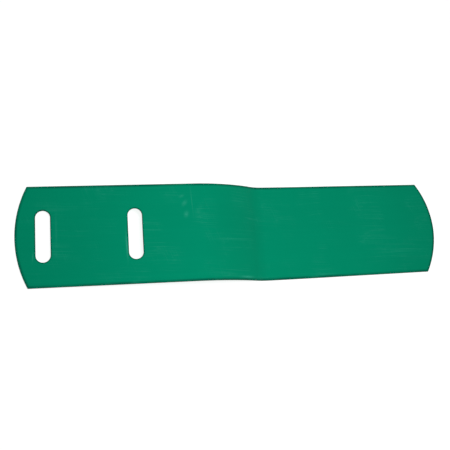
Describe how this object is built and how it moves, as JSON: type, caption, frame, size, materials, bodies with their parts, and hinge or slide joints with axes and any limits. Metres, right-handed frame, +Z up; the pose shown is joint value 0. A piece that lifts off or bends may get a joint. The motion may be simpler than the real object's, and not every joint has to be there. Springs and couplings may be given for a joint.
{
  "type": "slide sheet",
  "caption": "Long thin flexible plastic slide sheet with arc-cut ends, round-ended hand slots near one end and a low set bend across the middle.",
  "frame": {"origin": "middle of the overall length and width, on the floor that the sheet lies on", "axes": "+X along the sheet from the slotted end to the plain end, +Y across it, +Z up"},
  "size_m": [0.9, 0.2, 0.034],
  "materials": {
    "sheet_plastic": "semi-matt, lightly scuffed"
  },
  "bodies": {
    "root": {"slide_sheet": "sheet_plastic"}
  },
  "joints": []
}
